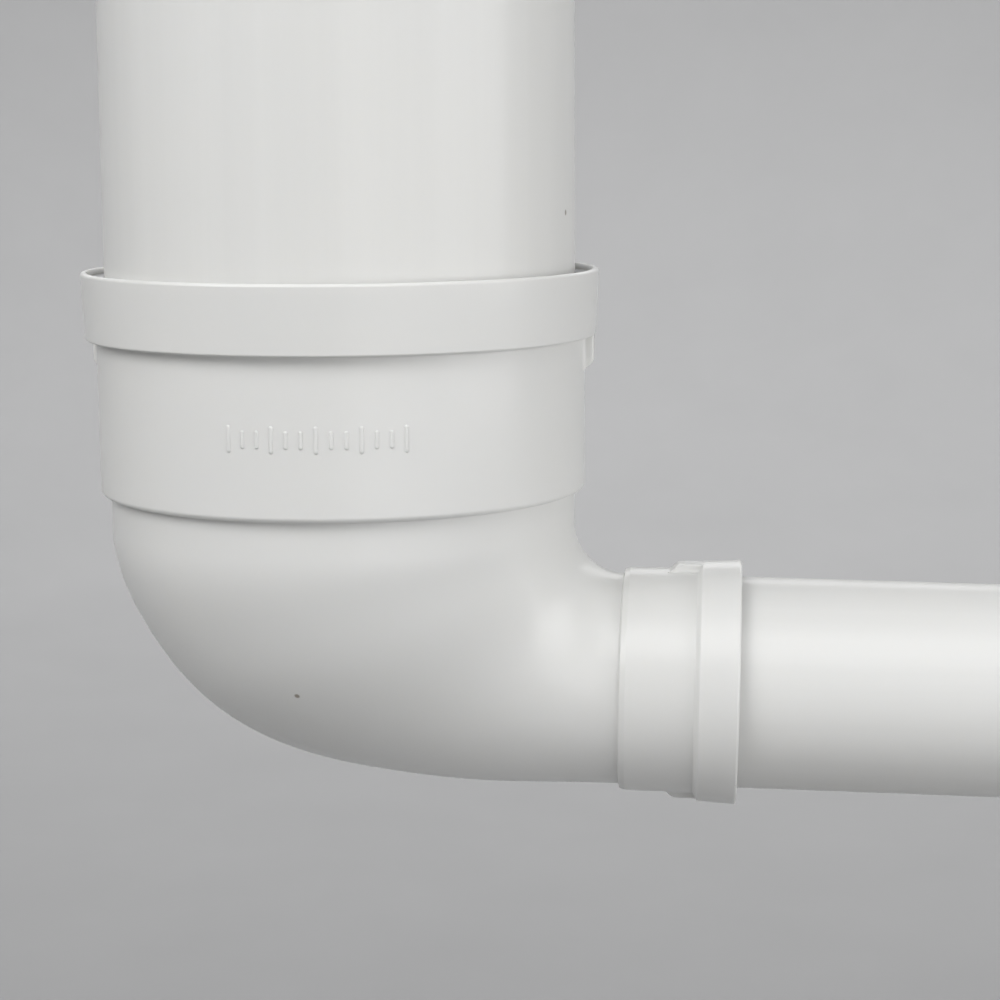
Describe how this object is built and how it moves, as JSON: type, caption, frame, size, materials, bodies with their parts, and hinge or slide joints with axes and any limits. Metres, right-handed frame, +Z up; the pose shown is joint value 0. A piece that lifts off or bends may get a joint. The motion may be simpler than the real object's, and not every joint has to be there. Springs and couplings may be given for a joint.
{
  "type": "reducing drain pipe elbow",
  "caption": "White drain elbow turning a large upright pipe into a small side outlet, with a collared, ribbed and sealed socket and a cut pipe at each end.",
  "frame": {"origin": "centre of the large socket's mouth, on the riser's axis", "axes": "+Z up the riser, +X towards the small outlet (which falls 1.2 degrees below +X), symmetric about the XZ plane"},
  "size_m": [0.2349, 0.121, 0.227],
  "materials": {
    "moulding": "gloss white uPVC moulding",
    "pipe": "satin-gloss white uPVC extrusion",
    "seal": "matt grey rubber"
  },
  "bodies": {
    "elbow": {"elbow_body": "moulding"},
    "riser_ring": {"riser_seal_ring": "seal"},
    "riser": {"riser_pipe": "pipe"},
    "outlet_ring": {"outlet_seal_ring": "seal"},
    "outlet": {"outlet_pipe": "pipe"}
  },
  "joints": [
    {"name": "riser_turn", "type": "hinge", "parent": "elbow", "child": "riser_ring", "pos_m": [0, 0, 0], "axis": [0, 0, 1], "continuous": true},
    {"name": "riser_pull", "type": "slide", "parent": "riser_ring", "child": "riser", "axis": [0, 0, 1], "range_m": [0, 0.055]},
    {"name": "outlet_turn", "type": "hinge", "parent": "elbow", "child": "outlet_ring", "pos_m": [0.09388, 0, -0.09807], "axis": [0.9998, 0, -0.0209], "continuous": true},
    {"name": "outlet_pull", "type": "slide", "parent": "outlet_ring", "child": "outlet", "axis": [0.9998, 0, -0.0209], "range_m": [0, 0.032]}
  ]
}
